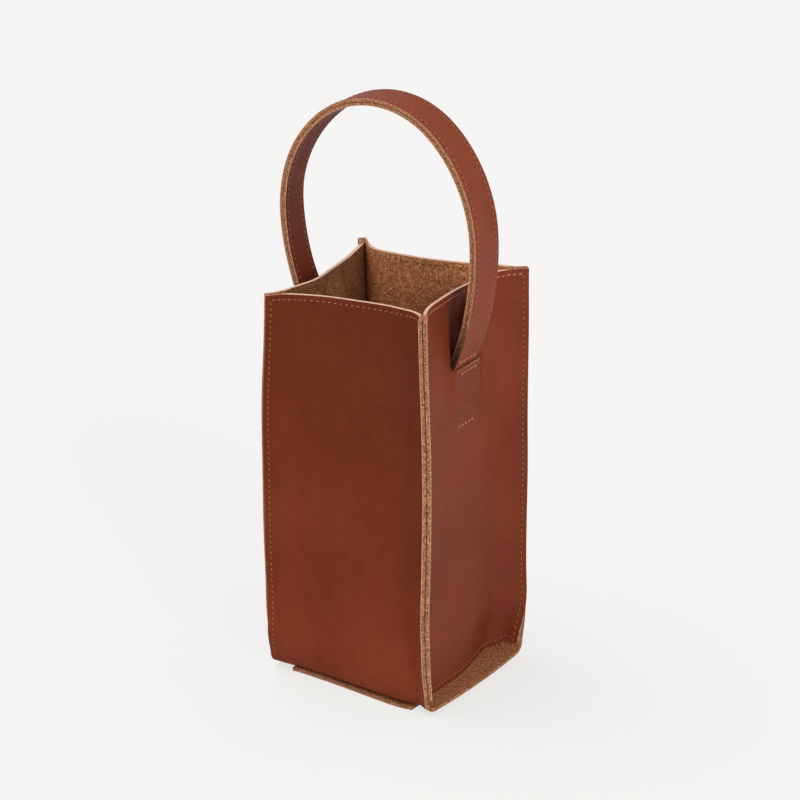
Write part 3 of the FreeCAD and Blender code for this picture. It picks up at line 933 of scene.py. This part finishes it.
def make_wall_stitches():
    for name in WALLS:
        rows = [wall_row(name, True, RIM - STITCH_INSET, WALL_HALF - STITCH_INSET),
                wall_row(name, False, RIM - STITCH_INSET, FLAT_HALF + BEND_RUN / 2)]
        add_thread(f"{name}_rim_stitches", f"{name}_rim_thread", rows)
    for name in ("left", "right"):
        rows = [hem_row(name, True, WALL_HALF - STITCH_INSET), hem_row(name, False, FLAT_HALF)]
        add_thread(f"{name}_hem_stitches", f"{name}_hem_thread", rows)
    for corner in SEAM_TURN:
        rows = [seam_row(name, (WALL_HALF - STITCH_INSET) * (1 if corner == ends[3] else -1))
                for name, ends in WALLS.items() if corner in ends]
        add_thread(f"{corner}_seam_stitches", f"{corner}_seam_thread", rows)


def straight_row(start, end, place, tone=1.0):
    """Row from one flat spot to another on place(spot, lift)."""
    length = (end - start).length

    def surface(distance, lift):
        return place(start.lerp(end, distance / length), lift)
    return length, surface, True, tone


STRAP_ROW_HALF = STRAP_WIDTH / 2 - STITCH_INSET


def tail_rows(place):
    """Frame with a cross that holds a tail; the level rows get a painted highlight and the others painted
    shade.
    """
    top = LIP_HEIGHT - BOX_TOP_INSET
    bottom = top - BOX_HEIGHT
    low_left, low_right = Vector((-STRAP_ROW_HALF, bottom)), Vector((STRAP_ROW_HALF, bottom))
    high_left, high_right = Vector((-STRAP_ROW_HALF, top)), Vector((STRAP_ROW_HALF, top))
    pairs = ((low_left, low_right), (low_right, high_right), (high_right, high_left), (high_left, low_left),
             (low_left, high_right), (low_right, high_left))
    return [straight_row(start, end, place, LIT_THREAD_TONE if start.y == end.y else SHADED_THREAD_TONE)
            for start, end in pairs]


def make_strap_stitches():
    reach = STRAP_HALF - SLIT_DISTANCE
    for name, across in (("front", -STRAP_ROW_HALF), ("back", STRAP_ROW_HALF)):
        def outer(distance, lift, across=across):
            return strap_point(across, distance - reach, HALF_PACK + lift)

        def inner(distance, lift, across=across):
            return strap_point(across, distance - reach, -HALF_PACK - lift)
        add_thread(f"handle_{name}_edge_stitches", f"handle_{name}_edge_thread",
                   [(2 * reach, outer), (2 * reach, inner)], moving=True)
    for name, side in (("left", -1), ("right", 1)):
        def on_panel(spot, lift, name=name):
            return wall_point(name, spot.x, LEATHER + lift, spot.y)

        def on_tail(spot, lift, side=side):
            return strap_point(-side * spot.x, side * (STRAP_HALF - spot.y + TAIL_BOTTOM), -HALF_PACK - lift)

        def cross(distance, lift, side=side):
            return strap_point(distance - STRAP_ROW_HALF, side * (reach - ROOT_ROW_RISE), HALF_PACK + lift)
        add_thread(f"{name}_tail_stitches", f"{name}_tail_thread", tail_rows(on_panel) + tail_rows(on_tail))
        add_thread(f"{name}_root_stitches", f"{name}_root_thread",
                   [(2 * STRAP_ROW_HALF, cross, True, LIT_THREAD_TONE)], moving=True)


def make_sole_stitches():
    half_x, half_y = (side - STITCH_INSET for side in SOLE_HALF)
    spots = ((-half_x, -half_y), (half_x, -half_y), (half_x, half_y), (-half_x, half_y))
    corners = [Vector(spot) for spot in spots]

    def under(spot, lift):
        return under_base(spot.x, spot.y, SOLE_GROOVE - lift)

    def inside(spot, lift):
        return under_base(spot.x, spot.y, BASE_FLESH + lift)
    rows = [straight_row(start, end, place)
            for start, end in zip(corners, corners[1:] + corners[:1]) for place in (under, inside)]
    add_thread("sole_stitches", "sole_thread", rows)


# Camera, with its distance and its aim in rim heights
AZIMUTH, ELEVATION = math.radians(32.43), math.radians(20.47)
CAMERA_DISTANCE = 7.227
AIM_HEIGHT, AIM_RIGHT = 0.692, 0.013
FILM_WIDTH, FOCAL_LENGTH = 36, 135


def make_camera():
    back = Vector((math.sin(AZIMUTH) * math.cos(ELEVATION), -math.cos(AZIMUTH) * math.cos(ELEVATION),
                   math.sin(ELEVATION)))
    right = Vector((math.cos(AZIMUTH), math.sin(AZIMUTH), 0))
    target = Vector((0, 0, AIM_HEIGHT * RIM)) + right * AIM_RIGHT * RIM
    data = bpy.data.cameras.new("camera")
    data.sensor_width, data.lens = FILM_WIDTH, FOCAL_LENGTH
    camera = bpy.data.objects.new("camera", data)
    camera.location = target + back * CAMERA_DISTANCE * RIM
    camera.rotation_euler = (-back).to_track_quat("-Z", "Y").to_euler()
    bpy.context.scene.collection.objects.link(camera)
    bpy.context.scene.camera = camera


FLOOR_HALF = 12
FLOOR_COLOUR = (0.86, 0.855, 0.845)
GLOW_COLOUR = (0.922, 0.913, 0.896)
GLOW_SHARE = 0.78


def make_floor():
    """Pale floor that glows a little where it is seen, and keeps the shadow."""
    bm = bmesh.new()
    bmesh.ops.create_grid(bm, x_segments=1, y_segments=1, size=FLOOR_HALF)
    material = plain("pale_floor", FLOOR_COLOUR, roughness=1)
    tree = material.node_tree
    shader = tree.nodes["Principled BSDF"]
    shader.inputs["Specular IOR Level"].default_value = 0
    glow = tree.nodes.new("ShaderNodeEmission")
    glow.inputs["Color"].default_value = (*GLOW_COLOUR, 1)
    path = tree.nodes.new("ShaderNodeLightPath")
    seen = path.outputs["Is Camera Ray"]
    for other in ("Is Glossy Ray", "Is Transmission Ray"):
        both = tree.nodes.new("ShaderNodeMath")
        both.operation = "MAXIMUM"
        tree.links.new(seen, both.inputs[0])
        tree.links.new(path.outputs[other], both.inputs[1])
        seen = both.outputs[0]
    share = tree.nodes.new("ShaderNodeMath")
    share.operation = "MULTIPLY"
    share.inputs[1].default_value = GLOW_SHARE
    mix = tree.nodes.new("ShaderNodeMixShader")
    tree.links.new(seen, share.inputs[0])
    tree.links.new(share.outputs[0], mix.inputs[0])
    tree.links.new(shader.outputs[0], mix.inputs[1])
    tree.links.new(glow.outputs[0], mix.inputs[2])
    tree.links.new(mix.outputs[0], tree.nodes["Material Output"].inputs["Surface"])
    finish_mesh("floor", bm, (material,))


WORLD_STRENGTH = 0.58
# Sun lamps: strength, spread in degrees, direction that the light comes from
SUNS = {"key": (1.25, 50, (-0.45, -0.05, 1)), "fill": (0.9, 25, (1, -0.6, 0.5))}


def make_light():
    world = bpy.data.worlds.new("studio")
    bpy.context.scene.world = world
    world.use_nodes = True
    sky = world.node_tree.nodes["Background"]
    sky.inputs["Color"].default_value = (1, 1, 1, 1)
    sky.inputs["Strength"].default_value = WORLD_STRENGTH
    for name, (strength, spread, towards) in SUNS.items():
        light = bpy.data.lights.new(name, "SUN")
        light.energy, light.angle = strength, math.radians(spread)
        lamp = bpy.data.objects.new(name, light)
        lamp.rotation_euler = Vector(towards).to_track_quat("Z", "Y").to_euler()
        bpy.context.scene.collection.objects.link(lamp)


make_walls()
make_sole()
make_strap()
make_wall_stitches()
make_strap_stitches()
make_sole_stitches()
bpy.data.meshes.remove(STITCH)
bpy.data.meshes.remove(HOLE_SHADE_SPOT)
make_floor()
make_light()
make_camera()
bpy.context.scene.view_settings.view_transform = "Standard"
